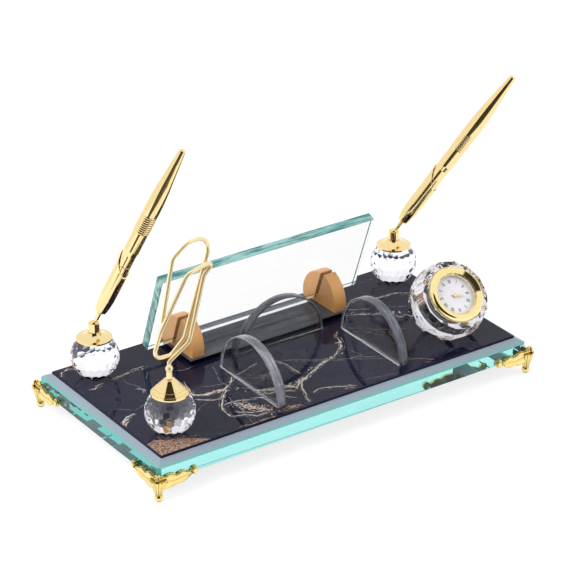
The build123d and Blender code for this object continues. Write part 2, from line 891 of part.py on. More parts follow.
with BuildPart() as clock_case:
    with BuildSketch(face):
        Circle(case_radius)
    extrude(amount=-case_depth)
    with BuildSketch(face):
        Circle(case_bore_radius)
    extrude(amount=case_wall - case_depth, mode=Mode.SUBTRACT)
    with BuildSketch(face.offset(-grip_low)):
        Circle(case_radius)
        Circle(case_radius - grip_groove, mode=Mode.SUBTRACT)
    extrude(amount=grip_low - grip_high, mode=Mode.SUBTRACT)
    with BuildSketch(face.offset(-case_depth)):
        with Locations((battery_offset, 0)):
            Circle(hatch_radius)
        with Locations((-knob_offset, 0)):
            Circle(knob_shaft_radius + arbor_clear)
    extrude(amount=case_wall, mode=Mode.SUBTRACT)
save(clock_case.part, "clock_case")

with BuildPart() as clock_grip_ring:
    with BuildSketch(face.offset(-grip_low)):
        Circle(clock_bore_radius - grip_clear)
        Circle(case_radius - grip_groove, mode=Mode.SUBTRACT)
    extrude(amount=grip_low - grip_high)
save(clock_grip_ring.part, "clock_grip_ring")

lens_top = lens_floor + lens_thick
with BuildPart() as clock_bezel:
    with BuildSketch(half_plane(face)):
        with BuildLine():
            Polyline(
                (lens_radius, lens_top),
                (lens_radius, lens_floor),
                (bezel_inner_radius, lens_floor),
                (bezel_inner_radius, 0),
                (bezel_radius, 0),
            )
            ThreePointArc(
                (bezel_radius, 0),
                ((bezel_radius + bezel_lip_radius) / 2 + bezel_bulge, bezel_height / 2 + bezel_bulge),
                (bezel_lip_radius, bezel_height),
            )
            Line((bezel_lip_radius, bezel_height), (lens_radius, lens_top))
        make_face()
    revolve(axis=axis_of(face))
save(clock_bezel.part, "clock_bezel")

with BuildPart() as clock_lens:
    with BuildSketch(face.offset(lens_floor)):
        Circle(lens_radius)
    extrude(amount=lens_thick)
save(clock_lens.part, "clock_lens")

with BuildPart() as clock_dial:
    with BuildSketch(face.offset(-dial_drop - dial_thick)):
        Circle(dial_radius)
        Circle(arbor_hole, mode=Mode.SUBTRACT)
    extrude(amount=dial_thick)
save(clock_dial.part, "clock_dial")

movement_top = -dial_drop - dial_thick
movement_low = movement_top - movement_thick
hour_pipe_low = movement_top - hour_pipe_depth
minute_shaft_low = movement_top - minute_shaft_depth
with BuildPart() as clock_movement:
    with BuildSketch(face.offset(movement_low)):
        Circle(movement_radius)
    extrude(amount=movement_thick)
    with BuildSketch(face.offset(hour_pipe_low)):
        Circle(hour_pipe_radius + arbor_clear)
    extrude(amount=movement_top - hour_pipe_low, mode=Mode.SUBTRACT)
    with BuildSketch(face.offset(minute_shaft_low)):
        Circle(minute_shaft_radius + arbor_clear)
    extrude(amount=movement_top - minute_shaft_low, mode=Mode.SUBTRACT)
    with BuildSketch(face.offset(movement_low)):
        with Locations((battery_offset, 0)):
            Circle(battery_radius + battery_clear)
    extrude(amount=battery_thick + battery_clear, mode=Mode.SUBTRACT)
    with BuildSketch(face.offset(movement_low)):
        with Locations((-knob_offset, 0)):
            Circle(knob_shaft_radius + arbor_clear)
    extrude(amount=knob_socket, mode=Mode.SUBTRACT)
save(clock_movement.part, "clock_movement")

with BuildPart() as clock_battery:
    with BuildSketch(face.offset(movement_low)):
        with Locations((battery_offset, 0)):
            Circle(battery_radius)
    extrude(amount=battery_thick)
save(clock_battery.part, "clock_battery")

with BuildPart() as battery_hatch:
    with BuildSketch(face.offset(-case_depth)):
        with Locations((battery_offset, 0)):
            Circle(hatch_radius - hatch_clear)
    extrude(amount=case_wall)
save(battery_hatch.part, "battery_hatch")

with BuildPart() as setting_knob:
    with BuildSketch(face.offset(-case_depth - knob_gap - knob_height)):
        with Locations((-knob_offset, 0)):
            Circle(knob_radius)
    extrude(amount=knob_height)
    with BuildSketch(face.offset(-case_depth - knob_gap)):
        with Locations((-knob_offset, 0)):
            Circle(knob_shaft_radius)
    extrude(amount=movement_low + case_depth + knob_socket)
save(setting_knob.part, "setting_knob")


def clock_hand(level, angle, length, wide, shaft_low, outer, bore):
    # A tapered hand with a round hub, on a shaft or pipe that reaches into the movement
    across = face.x_dir * cos(radians(angle)) - face.y_dir * sin(radians(angle))
    plane = Plane(face.offset(level).origin, x_dir=across, z_dir=face.z_dir)
    with BuildPart() as hand:
        with BuildSketch(plane):
            with BuildLine():
                Polyline(
                    (-wide / 2, 0),
                    (-wide / 4, -hand_tail),
                    (wide / 4, -hand_tail),
                    (wide / 2, 0),
                    (0, length),
                    close=True,
                )
            make_face()
            Circle(hand_hub_radius)
        extrude(amount=hand_thick)
        with BuildSketch(face.offset(shaft_low)):
            Circle(outer)
        extrude(amount=level - shaft_low)
        if bore:
            with BuildSketch(face.offset(shaft_low)):
                Circle(bore)
            extrude(amount=level + hand_thick - shaft_low, mode=Mode.SUBTRACT)
    return hand.part


hour_hand = clock_hand(
    hour_hand_level - dial_drop,
    hour_hand_angle,
    hour_hand_length,
    hour_hand_wide,
    hour_pipe_low,
    hour_pipe_radius,
    hour_pipe_bore,
)
save(hour_hand, "hour_hand")
minute_hand = clock_hand(
    minute_hand_level - dial_drop,
    minute_hand_angle,
    minute_hand_length,
    minute_hand_wide,
    minute_shaft_low,
    minute_shaft_radius,
    0,
)
save(minute_hand, "minute_hand")
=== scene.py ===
import json
import random
from math import cos, pi, radians, sin

import bmesh
import bpy
from mathutils import Matrix, Vector
from mathutils.noise import noise


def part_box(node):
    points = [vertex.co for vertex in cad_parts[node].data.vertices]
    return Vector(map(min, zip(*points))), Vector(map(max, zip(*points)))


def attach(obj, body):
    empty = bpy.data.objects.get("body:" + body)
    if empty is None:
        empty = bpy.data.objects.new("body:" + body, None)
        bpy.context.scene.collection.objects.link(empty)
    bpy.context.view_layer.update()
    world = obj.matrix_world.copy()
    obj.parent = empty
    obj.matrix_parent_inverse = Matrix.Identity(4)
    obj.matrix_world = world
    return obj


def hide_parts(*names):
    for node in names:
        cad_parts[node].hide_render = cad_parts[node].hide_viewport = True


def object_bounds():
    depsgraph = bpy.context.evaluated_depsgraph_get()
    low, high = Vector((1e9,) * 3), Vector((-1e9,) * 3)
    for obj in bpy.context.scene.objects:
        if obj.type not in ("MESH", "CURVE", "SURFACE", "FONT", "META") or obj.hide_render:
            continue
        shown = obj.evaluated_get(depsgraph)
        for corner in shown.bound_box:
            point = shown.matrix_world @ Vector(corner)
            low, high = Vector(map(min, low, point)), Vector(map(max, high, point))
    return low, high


# A desk set on a bevelled glass base. The frame is in metres, and sizes here are in millimetres.
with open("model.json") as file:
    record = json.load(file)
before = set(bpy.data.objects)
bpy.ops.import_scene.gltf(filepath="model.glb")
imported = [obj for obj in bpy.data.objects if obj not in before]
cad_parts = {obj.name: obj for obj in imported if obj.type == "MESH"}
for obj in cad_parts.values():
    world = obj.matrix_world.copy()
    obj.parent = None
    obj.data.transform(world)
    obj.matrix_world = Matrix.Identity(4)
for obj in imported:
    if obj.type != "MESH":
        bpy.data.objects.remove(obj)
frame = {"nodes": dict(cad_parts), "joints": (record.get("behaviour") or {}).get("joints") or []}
cad_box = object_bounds()
nodes = frame["nodes"]
joints = {joint["name"]: joint for joint in frame["joints"]}
MM = 0.001
ALONG_X, ALONG_Y, UP = Vector((1, 0, 0)), Vector((0, 1, 0)), Vector((0, 0, 1))

# How near to a cutting plane a corner counts as on it
CUT_SNAP = 1e-5
# The two finishes of a glass piece, and the least cosine at which a face counts as square to an axis
POLISHED, GROUND = 0, 1
STRAIGHT = 0.99

# The photograph's viewpoint
VIEW_AZIMUTH = -34.774
VIEW_ELEVATION = 26.645
VIEW_DISTANCE = 1876.1
VIEW_TARGET = (58.9, 86.0, 15.2)
FOCAL_PIXELS = 2600
IMAGE_PIXELS = 570
SENSOR = 36.0
CLIP_NEAR, CLIP_FAR = 0.05, 50


def linear(code):
    """An sRGB hex colour as linear light."""
    parts = [int(code[start:start + 2], 16) / 255 for start in (1, 3, 5)]
    return [part / 12.92 if part <= 0.04045 else ((part + 0.055) / 1.055) ** 2.4 for part in parts] + [1.0]


def node(tree, kind, inputs=None, **settings):
    """Adds one shader node, with each input set to a value or linked to a socket."""
    made = tree.nodes.new("ShaderNode" + kind)
    for key, value in settings.items():
        setattr(made, key, value)
    for key, value in (inputs or {}).items():
        if isinstance(value, bpy.types.NodeSocket):
            tree.links.new(value, made.inputs[key])
        else:
            made.inputs[key].default_value = value
    return made


def surface(name, constants):
    """A material of one Principled shader, with what is the same all over set on its sockets."""
    made = bpy.data.materials.new(name)
    made.use_nodes = True
    shader = made.node_tree.nodes["Principled BSDF"]
    for key, value in constants.items():
        shader.inputs[key].default_value = value
    return made, made.node_tree, shader


def plain(name, constants):
    """A material that is the same all over."""
    return surface(name, constants)[0]


def own_place(tree):
    """The place on the object, which every pattern follows."""
    return node(tree, "TexCoord").outputs["Object"]


def own_height(tree):
    return node(tree, "SeparateXYZ", {"Vector": own_place(tree)}).outputs["Z"]


def mottle(tree, place, size, detail, roughness=0.5):
    """Noise with spots of one size, or of a size along each axis, in millimetres."""
    scale = 1.0
    if isinstance(size, tuple):
        stretched = node(tree, "Mapping", {"Vector": place, "Scale": [1 / (reach * MM) for reach in size]})
        place = stretched.outputs["Vector"]
    else:
        scale = 1 / (size * MM)
    inputs = {"Vector": place, "Scale": scale, "Detail": detail, "Roughness": roughness}
    return node(tree, "TexNoise", inputs).outputs["Fac"]


def ramp(tree, value, low, high):
    """A share that rises from 0 to 1 while a value goes from low to high."""
    return node(tree, "MapRange", {"Value": value, "From Min": low, "From Max": high}).outputs["Result"]


def blend(tree, share, first, second):
    """A colour between two."""
    return node(tree, "Mix", {"Factor": share, "A": first, "B": second}, data_type="RGBA").outputs["Result"]


def mottled(name, constants, size, detail, roughness, deep, pale, spread=0.5):
    """A material with deep and pale spots, whose edges are sharper the smaller the spread is."""
    made, tree, shader = surface(name, constants)
    spots = mottle(tree, own_place(tree), size, detail, roughness)
    tone = blend(tree, ramp(tree, spots, 0.5 - spread, 0.5 + spread), deep, pale)
    tree.links.new(tone, shader.inputs["Base Color"])
    return made


def dress(material, *names):
    """Gives CAD nodes their finish."""
    for name in names:
        nodes[name].material_slots[0].material = material


def span(name):
    """The corners of a CAD node's box, in millimetres."""
    low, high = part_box(name)
    return Vector(low) / MM, Vector(high) / MM


def turned_to(across, deep, up):
    """The turn that brings the three axes to new directions."""
    return Matrix((across, deep, up)).transposed().to_4x4()


def cut_away(shape, point, away):
    """Takes off what lies outside a plane."""
    whole = shape.verts[:] + shape.edges[:] + shape.faces[:]
    bmesh.ops.bisect_plane(shape, geom=whole, dist=CUT_SNAP, plane_co=point, plane_no=away, clear_outer=True)


def round_off(shape, edges, arris):
    """Breaks sharp edges."""
    bmesh.ops.bevel(shape, geom=edges, offset=arris, offset_type="OFFSET", affect="EDGES", segments=2,
                    profile=0.5, material=-1)


def add_piece(name, shape, body, materials, replaced=()):
    """Makes a finished piece from a shape drawn in millimetres."""
    bmesh.ops.scale(shape, vec=(MM, MM, MM), verts=shape.verts)
    mesh = bpy.data.meshes.new(name)
    shape.to_mesh(mesh)
    shape.free()
    for material in materials:
        mesh.materials.append(material)
    made = bpy.data.objects.new(name, mesh)
    bpy.context.scene.collection.objects.link(made)
    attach(made, body)
    if replaced:
        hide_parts(*replaced)


# Glass and crystal
def float_glass(name, tint, density):
    # Polished soda-lime glass: clear through its thickness, sea green where the eye looks along it
    made, tree, shader = surface(name, {
        "Base Color": (1, 1, 1, 1),
        "Roughness": 0.0,
        "IOR": 1.52,
        "Transmission Weight": 1.0,
    })
    inside = node(tree, "VolumeAbsorption", {"Color": linear(tint), "Density": density})
    tree.links.new(inside.outputs["Volume"], tree.nodes["Material Output"].inputs["Volume"])
    return made


def ground_edge(name, pale, deep, spread, streak, clear):
    # A ground glass edge: part clear, part grey light, with fine streaks left by the grinding wheel
    constants = {"Roughness": 0.16, "IOR": 1.5, "Transmission Weight": clear}
    return mottled(name, constants, streak, 3.0, 0.6, linear(deep), linear(pale), spread)


# Metals
# Painted shade for the hollows of cast gold: its brown, and the occlusion at which it is full and at which it fades
# out
CREVICE_SHADE_BROWN = "#6B4A12"
CREVICE_SHUT, CREVICE_OPEN = 0.4, 0.95
HAZE_SPREAD = 0.3


def gilt(name, colour, shade, roughness, grain, crevice=0.0, metal=1.0):
    # Gold plate over brass: a mirror with faint polishing haze, with painted shade in brown where a casting is deep,
    # and paler under lacquer
    made, tree, shader = surface(name, {"Metallic": metal})
    haze = mottle(tree, own_place(tree), grain, 3.0)
    tone = blend(tree, haze, linear(shade), linear(colour))
    if crevice:
        # Painted shade: ambient occlusion turns the colour brown in the hollows of a casting
        depth = node(tree, "AmbientOcclusion", {"Distance": crevice * MM}, samples=8).outputs["AO"]
        tone = blend(tree, ramp(tree, depth, CREVICE_SHUT, CREVICE_OPEN), linear(CREVICE_SHADE_BROWN), tone)
    gloss = node(tree, "MapRange", {
        "Value": haze, "To Min": roughness * (1 - HAZE_SPREAD), "To Max": roughness * (1 + HAZE_SPREAD),
    })
    tree.links.new(tone, shader.inputs["Base Color"])
    tree.links.new(gloss.outputs["Result"], shader.inputs["Roughness"])
    return made


sea_glass = float_glass("polished_float_glass", "#00E5E1", 6.0)
plate_glass = float_glass("clear_plate_glass", "#DDEFEE", 2.0)
stop_glass = float_glass("clear_card_stop_glass", "#C9D8DE", 2.0)
lens_glass = plain("mineral_lens_glass", {"Base Color": (1, 1, 1, 1), "Roughness": 0.0, "IOR": 1.5, "Alpha": 0.06})
crystal_polish = {"Roughness": 0.0, "IOR": 1.54, "Transmission Weight": 1.0}
crystal = plain("polished_crystal", {"Base Color": (0.95, 0.935, 0.99, 1), **crystal_polish})
clock_crystal = plain("smoky_clock_crystal", {"Base Color": (0.8, 0.79, 0.84, 1), **crystal_polish})
plate_edge = ground_edge("ground_plate_edge", "#A9DEDA", "#3F8F90", 0.09, (30, 3, 5), 0.3)
# The three stop rims are one ground edge in three brightnesses: the left paler as painted light, the right and back
# darker as painted shade
left_stop_edge_painted_lit = ground_edge("ground_left_stop_edge", "#E2E4EE", "#6A6E82", 0.12, (0.5, 14, 14), 0.78)
right_stop_edge_painted_shade = ground_edge("ground_right_stop_edge", "#AEB3C4", "#3C4152", 0.12, (0.5, 14, 14), 0.78)
back_stop_edge_painted_shade = ground_edge("ground_back_stop_edge", "#8C8F9E", "#34374A", 0.12, (14, 0.5, 14), 0.8)
gilt_pen = gilt("pale_gold_plate", "#FBE6B2", "#F3D695", 0.07, 1.5)
gilt_clip = gilt("lacquered_gold_wire", "#FFEFC4", "#FFE2A6", 0.13, 1.2, metal=0.6)
gilt_bezel = gilt("bright_gold_plate", "#FFF0B8", "#F8E09A", 0.08, 1.5)
# The cast gold has painted shade in its hollows
gilt_cast = gilt("cast_gold_plate", "#FFF2AE", "#F0C668", 0.2, 1.8, crevice=1.6)

dress(lens_glass, "clock_lens")
dress(crystal, "left_crystal_ball", "right_crystal_ball", "memo_crystal_ball")
dress(clock_crystal, "clock_crystal")
dress(gilt_cast, "front_left_foot", "front_right_foot", "rear_left_foot", "rear_right_foot")
for side in ("left", "right"):
    for part in ("pen_cap", "swivel_collar", "ball_stem", "pen_funnel", "pen_front_barrel",
                 "pen_ring_band", "pen_rear_barrel"):
        dress(gilt_pen, f"{side}_{part}")
dress(gilt_pen, "memo_cone", "hour_hand", "minute_hand")
dress(gilt_clip, "clip_pin", "clip_wire")
dress(gilt_bezel, "clock_bezel")

# Steel, plastic and rubber of the pieces inside and behind
steel = plain("plain_steel", {"Base Color": linear("#B9BBBE"), "Metallic": 1.0, "Roughness": 0.3})
dress(steel, "left_cap_stud", "right_cap_stud", "memo_cap_stud")
dress(steel, "left_pen_refill", "right_pen_refill", "clock_battery")
plastic = plain("moulded_black_plastic", {"Base Color": linear("#131314"), "Roughness": 0.42})
dress(plastic, "clock_case", "clock_movement", "battery_hatch", "setting_knob")
rubber = plain("grip_rubber", {"Base Color": linear("#1A1A1B"), "Roughness": 0.8})
dress(rubber, "clock_grip_ring")

# Varnished wood: fine grain along the block, with darker pores
wood, tree, shader = surface("varnished_wood", {"Roughness": 0.35, "Coat Weight": 0.25, "Coat Roughness": 0.15})
place = own_place(tree)
grain = mottle(tree, place, (9.0, 0.9, 0.9), 4.0, 0.65)
figure = mottle(tree, place, 11, 2.0)
tone = blend(tree, grain, linear("#C27E3C"), linear("#FAC47F"))
tree.links.new(blend(tree, figure, tone, linear("#E6A866")), shader.inputs["Base Color"])
dress(wood, "left_plate_bracket", "right_plate_bracket")

# Polished black stone of the plinth, with a faint lengthwise figure on top, and sides painted near black as painted
# shade
STONE_IOR = 1.22
PLINTH_HIGH = span("plate_plinth")[1]
PLINTH_ARRIS = 0.4
stone, tree, shader = surface("polished_black_stone", {"Roughness": 0.03, "IOR": STONE_IOR})
figure = mottle(tree, own_place(tree), (60, 4, 4), 4.0)
tone = blend(tree, figure, (0.02, 0.021, 0.03, 1), (0.16, 0.17, 0.21, 1))
# Painted shade: below the top's arris the sides are painted near black, as the stone's faces lie in their own shade
unshaded_top = ramp(tree, own_height(tree), (PLINTH_HIGH.z - PLINTH_ARRIS) * MM, PLINTH_HIGH.z * MM)
tree.links.new(blend(tree, unshaded_top, (0.003, 0.003, 0.005, 1), tone), shader.inputs["Base Color"])
dress(stone, "plate_plinth")

# Glass base: polished sides and underside, and a ground bevel that is grey at the slab and sea green at its foot
GLASS_LOW, GLASS_HIGH = span("glass_base")
BEVEL_WIDE, BEVEL_DROP = 6.4, 3.2
BEVEL_GREEN_SHARE = 0.45
GLASS_CORNER, GLASS_ARRIS = 2.5, 0.5
bevel_foot = GLASS_HIGH.z - BEVEL_DROP
bevel_ground, tree, shader = surface("ground_glass_bevel", {"Roughness": 0.28, "IOR": 1.5})
share = ramp(tree, own_height(tree), bevel_foot * MM, (bevel_foot + BEVEL_GREEN_SHARE * BEVEL_DROP) * MM)
tree.links.new(blend(tree, share, linear("#5FB0A6"), linear("#8C9AA8")), shader.inputs["Base Color"])

base = bmesh.new()
block = Matrix.Translation((GLASS_LOW + GLASS_HIGH) / 2) @ Matrix.Diagonal((*(GLASS_HIGH - GLASS_LOW), 1))
bmesh.ops.create_cube(base, size=1, matrix=block)
cuts = []
for side in (ALONG_X, -ALONG_X, ALONG_Y, -ALONG_Y):
    edge = side * abs(side.dot(GLASS_HIGH))
    cuts.append((edge + UP * bevel_foot, side * BEVEL_DROP + UP * BEVEL_WIDE, GROUND))
    cuts.append((edge + UP * GLASS_ARRIS, side - UP, POLISHED))
for x, y in ((1, 1), (1, -1), (-1, 1), (-1, -1)):
    cuts.append((Vector((x * (GLASS_HIGH.x - GLASS_CORNER), y * GLASS_HIGH.y, 0)), Vector((x, y, 0)), GROUND))
for point, away, finish in cuts:
    # Each cut is closed with a face of its own finish
    cut_away(base, point, away)
    rim = [edge for edge in base.edges if edge.is_boundary]
    for face in bmesh.ops.holes_fill(base, edges=rim, sides=0)["faces"]:
        face.material_index = finish
bmesh.ops.recalc_face_normals(base, faces=base.faces)
add_piece("bevelled_base", base, "base", [sea_glass, bevel_ground], ["glass_base"])

# Feet: ribs, knobs and curls cast in relief on the wings, a fluted fan on the leg and two beads above it.
# A rib has its first and last radius, how far out it lies, and the points that it passes along and up the wing.
WING_RIBS = (
    (0.55, 0.45, 2.45, ((0.6, 5.0), (3.5, 4.3), (7.6, 5.1), (12.4, 3.1), (16.4, 4.3), (20.3, 2.8), (23.2, 2.4))),
    (0.55, 0.45, 2.45, ((0.0, -1.9), (5.8, -3.6), (12.2, -2.3), (17.4, -2.5), (21.4, -0.4), (23.6, 0.9), (26.1, 0.4),
                        (28.3, 2.7), (26.1, 4.9), (24.3, 3.4), (25.6, 2.2))),
    (0.45, 0.25, 2.75, ((2.0, -0.6), (6.0, 1.1), (11.0, 0.3), (16.0, 1.1), (21.0, 1.2))),
)
KNOB, KNOB_OUT = 0.75, 2.3
WING_KNOBS = ((12.8, 3.6), (20.4, 3.1), (9.2, -3.5), (14.8, -2.6))
# The ribs of the leg follow its height and radius, a little sunk, and fan out round the corner
LEG = ((3.0, 5.73, -0.75), (0.0, 4.67, -0.6), (-3.6, 3.4, -0.35), (-7.4, 2.26, -0.15))
LEG_RIBS, LEG_RIB_PITCH, LEG_RIB_MIDDLE = 7, 30, 225
LEG_RIB_FIRST, LEG_RIB_LAST = 0.75, 0.4
BEADS = ((4.2, 1.1), (6.3, 0.95))
BEAD_OUT = 2.5
RIB_SIDES = 8


def smooth_line(stops, parts=5):
    # Points along a curve through the stops
    line = []
    for index in range(len(stops) - 1):
        before, start, end, after = (stops[min(max(index + step, 0), len(stops) - 1)] for step in (-1, 0, 1, 2))
        for part in range(parts):
            share = part / parts
            line.append((2 * start + (end - before) * share + (2 * before - 5 * start + 4 * end - after) * share**2
                         + (3 * start - before - 3 * end + after) * share**3) / 2)
    return line + [stops[-1]]


def add_rib(shape, stops, first, last, aside):
    # A round rib: a ring extruded along a curve that lies in a plane, tapering from its first radius to its last
    line = smooth_line(stops)
    before = None
    for index, spot in enumerate(line):
        ahead = (line[min(index + 1, len(line) - 1)] - line[max(index - 1, 0)]).normalized()
        radius = first + (last - first) * index / (len(line) - 1)
        place = Matrix.Translation(spot) @ turned_to(ahead.cross(aside), aside, ahead)
        place @= Matrix.Diagonal((radius, radius, radius, 1))
        if before is None:
            ring = bmesh.ops.create_circle(shape, cap_ends=True, segments=RIB_SIDES, radius=1, matrix=place)["verts"]
            rim = list({edge for vert in ring for edge in vert.link_edges})
        else:
            drawn = bmesh.ops.extrude_edge_only(shape, edges=rim)["geom"]
            ring = [item for item in drawn if isinstance(item, bmesh.types.BMVert)]
            rim = [item for item in drawn if isinstance(item, bmesh.types.BMEdge) and len(item.link_faces) == 1]
            bmesh.ops.transform(shape, matrix=place @ before.inverted(), verts=ring)
        before = place
    bmesh.ops.holes_fill(shape, edges=rim, sides=0)


for foot, x, y in (("front_left", -1, -1), ("front_right", 1, -1), ("rear_left", -1, 1), ("rear_right", 1, 1)):
    corner = Vector((x * GLASS_HIGH.x, y * GLASS_HIGH.y, 0))
    along_x, along_y = -x * ALONG_X, -y * ALONG_Y
    relief = bmesh.new()
    for along, out in ((along_x, -along_y), (along_y, -along_x)):
        for first, last, level, stops in WING_RIBS:
            line = [corner + along * reach + UP * rise + out * level for reach, rise in stops]
            add_rib(relief, line, first, last, out)
        for reach, rise in WING_KNOBS:
            place = Matrix.Translation(corner + along * reach + UP * rise + out * KNOB_OUT)
            bmesh.ops.create_uvsphere(relief, u_segments=12, v_segments=8, radius=KNOB, matrix=place)
    for number in range(LEG_RIBS):
        angle = radians(LEG_RIB_MIDDLE + LEG_RIB_PITCH * (number - (LEG_RIBS - 1) / 2))
        out = along_x * cos(angle) + along_y * sin(angle)
        line = [corner + out * (radius + inset) + UP * rise for rise, radius, inset in LEG]
        add_rib(relief, line, LEG_RIB_FIRST, LEG_RIB_LAST, UP.cross(out))
    for rise, radius in BEADS:
        place = Matrix.Translation(corner - (along_x + along_y) * BEAD_OUT + UP * rise)
        bmesh.ops.create_uvsphere(relief, u_segments=16, v_segments=10, radius=radius, matrix=place)
    bmesh.ops.recalc_face_normals(relief, faces=relief.faces)
    for face in relief.faces:
        face.smooth = len(face.verts) < RIB_SIDES
    add_piece(f"{foot}_foot_relief", relief, "base", [gilt_cast])

# Marble slab: a polished black ground a hair above the glass, with thin veins flush in its face
AIR = 0.03
SLAB_LOW, SLAB_HIGH = span("marble_slab")
SLAB_ARRIS = 0.4
marble = mottled("polished_black_marble", {"Roughness": 0.02, "IOR": STONE_IOR}, 28, 5.0, 0.6,
                 (0.001, 0.001, 0.01, 1), (0.016, 0.017, 0.044, 1))

slab = bmesh.new()
slab_size = SLAB_HIGH - SLAB_LOW
block = Matrix.Translation((SLAB_LOW + SLAB_HIGH) / 2) @ Matrix.Diagonal((*slab_size.xy, slab_size.z - 2 * AIR, 1))
bmesh.ops.create_cube(slab, size=1, matrix=block)
top_edges = [edge for edge in slab.edges if all(vert.co.z > SLAB_HIGH.z - 2 * AIR for vert in edge.verts)]
round_off(slab, top_edges, SLAB_ARRIS)
add_piece("veined_slab", slab, "base", [marble], ["marble_slab"])

VEIN_WHITE, VEIN_FINE, VEIN_GRAIN = 0, 1, 2
vein_polish = {"Roughness": 0.05, "IOR": STONE_IOR}
vein_white = mottled("marble_white_gold_vein", vein_polish, 2.2, 4.0, 0.7, linear("#AF9A86"), linear("#F3ECE2"))
vein_fine = plain("marble_fine_vein", {"Base Color": linear("#8D8A93"), **vein_polish})
vein_grain = mottled("marble_pink_grain", vein_polish, 1.7, 3.0, 0.7, linear("#4A3630"), linear("#B8937C"), spread=0.1)

# Veins: what they are cut from, their width, and the points that they pass
VEINS = (
    (VEIN_WHITE, 0.9, ((-144, 58), (-141, 63), (-135, 65), (-131, 62))),
    (VEIN_FINE, 0.4, ((-142, 66), (-136, 67), (-130, 68))),
    (VEIN_WHITE, 0.8, ((-138, 33), (-134, 31), (-130, 33), (-124, 35))),
    (VEIN_WHITE, 0.9, ((-119, 38), (-115, 36), (-107, 38), (-97, 40), (-90, 39))),
    (VEIN_FINE, 0.5, ((-112, 33), (-112, 25), (-106, 16))),
    (VEIN_FINE, 0.6, ((-99, 23), (-92, 33))),
    (VEIN_WHITE, 0.8, ((-112, 15), (-109, 15), (-107, 11), (-110, 8))),
    (VEIN_FINE, 0.4, ((-138, 0), (-127, -8), (-110, -4), (-84, -2))),
    (VEIN_WHITE, 1.1, ((-144, -22), (-143, -18), (-137, -14), (-129, -12))),
    (VEIN_WHITE, 0.7, ((-144, -25), (-140, -20), (-136, -18))),
    (VEIN_FINE, 0.7, ((-76, 23), (-70, 20), (-62, 21))),
    (VEIN_WHITE, 1.0, ((-80, 6), (-82, -3), (-84, -12))),
    (VEIN_WHITE, 1.6, ((-86, -8), (-84, -13), (-77, -18), (-67, -18), (-60, -19))),
    (VEIN_WHITE, 1.4, ((-65, -20), (-58, -16), (-52, -11), (-49, -7))),
    (VEIN_WHITE, 1.0, ((-87, -19), (-81, -24), (-73, -28), (-66, -23), (-62, -19))),
    (VEIN_WHITE, 1.0, ((-50, -8), (-44, -8), (-31, -4), (-20, -1))),
    (VEIN_WHITE, 0.9, ((-12, -3), (-10, -11), (-9, -19), (-9, -30))),
    (VEIN_WHITE, 1.3, ((-66, -24), (-72, -29), (-77, -36), (-80, -46), (-80, -52))),
    (VEIN_WHITE, 0.9, ((-76, -36), (-64, -37), (-51, -41), (-42, -49))),
    (VEIN_WHITE, 0.9, ((-80, -52), (-71, -55), (-65, -60), (-57, -61))),
    (VEIN_WHITE, 0.9, ((-75, -48), (-65, -55), (-53, -59))),
    (VEIN_WHITE, 1.1, ((-66, -38), (-65, -46), (-60, -52), (-54, -57))),
    (VEIN_GRAIN, 1.4, ((-84, -67), (-74, -68), (-61, -67), (-54, -68))),
    (VEIN_GRAIN, 1.3, ((-62, -60), (-52, -63), (-44, -66))),
    (VEIN_WHITE, 1.9, ((-46, -31), (-37, -35), (-27, -37), (-21, -43))),
    (VEIN_WHITE, 1.2, ((-44, -38), (-33, -41), (-25, -48))),
    (VEIN_WHITE, 0.8, ((-38, -47), (-35, -50), (-30, -56))),
    (VEIN_WHITE, 1.1, ((-24, -46), (-16, -38), (-9, -37), (-3, -33), (4, -30), (14, -25), (24, -23))),
    (VEIN_WHITE, 0.8, ((24, -23), (36, -15), (41, -6), (42, 1), (48, 6))),
    (VEIN_WHITE, 1.2, ((-15, -39), (-20, -49), (-24, -58), (-26, -66))),
    (VEIN_WHITE, 0.9, ((-17, -57), (-16, -55), (-10, -54), (2, -59), (13, -65))),
    (VEIN_GRAIN, 1.1, ((3, -64), (12, -67))),
    (VEIN_FINE, 0.6, ((-12, -4), (2, -15), (13, -22), (27, -31))),
    (VEIN_FINE, 0.6, ((39, -20), (41, -31), (33, -31), (50, -40))),
    (VEIN_GRAIN, 1.0, ((62, -55), (71, -58), (79, -65))),
    (VEIN_GRAIN, 1.2, ((70, -65), (77, -68))),
    (VEIN_FINE, 0.5, ((-5, -8), (67, -55))),
    (VEIN_FINE, 0.5, ((103, 58), (110, 58), (118, 57))),
    (VEIN_WHITE, 1.2, ((82, 40), (87, 36), (95, 37), (97, 33), (105, 31), (116, 30), (125, 25))),
    (VEIN_WHITE, 0.7, ((75, 30), (82, 25), (91, 20))),
    (VEIN_FINE, 0.6, ((99, 17), (105, 13), (112, 9))),
    (VEIN_WHITE, 0.8, ((69, 23), (77, 20), (85, 14), (96, 7), (97, -1), (103, -1), (105, -10))),
    (VEIN_FINE, 0.5, ((-95, -34), (-89, -30), (-82, -28))),
    (VEIN_FINE, 0.5, ((-74, -7), (-62, -11), (-53, -13))),
    (VEIN_FINE, 0.5, ((-57, -20), (-44, -30))),
    (VEIN_FINE, 0.6, ((-67, -28), (-68, -47), (-73, -66))),
    (VEIN_FINE, 0.5, ((-52, 13), (-59, -9), (-59, -21))),
    (VEIN_FINE, 0.35, ((20, -60), (48, -66))),
    (VEIN_FINE, 0.35, ((92, -20), (60, 8))),
)
# A broad vein is a bundle: how far each strand lies aside, its share of the width, and how whole it is
BUNDLE_FROM = 0.8
STRANDS = ((0.0, 0.68, 0.7), (1.0, 0.32, 0.4), (-1.4, 0.26, 0.3))
# A vein is drawn in short steps, narrows over its last few, and never quite vanishes
VEIN_STEP = 0.5
VEIN_TAPER = 6
VEIN_THINNEST = 0.02
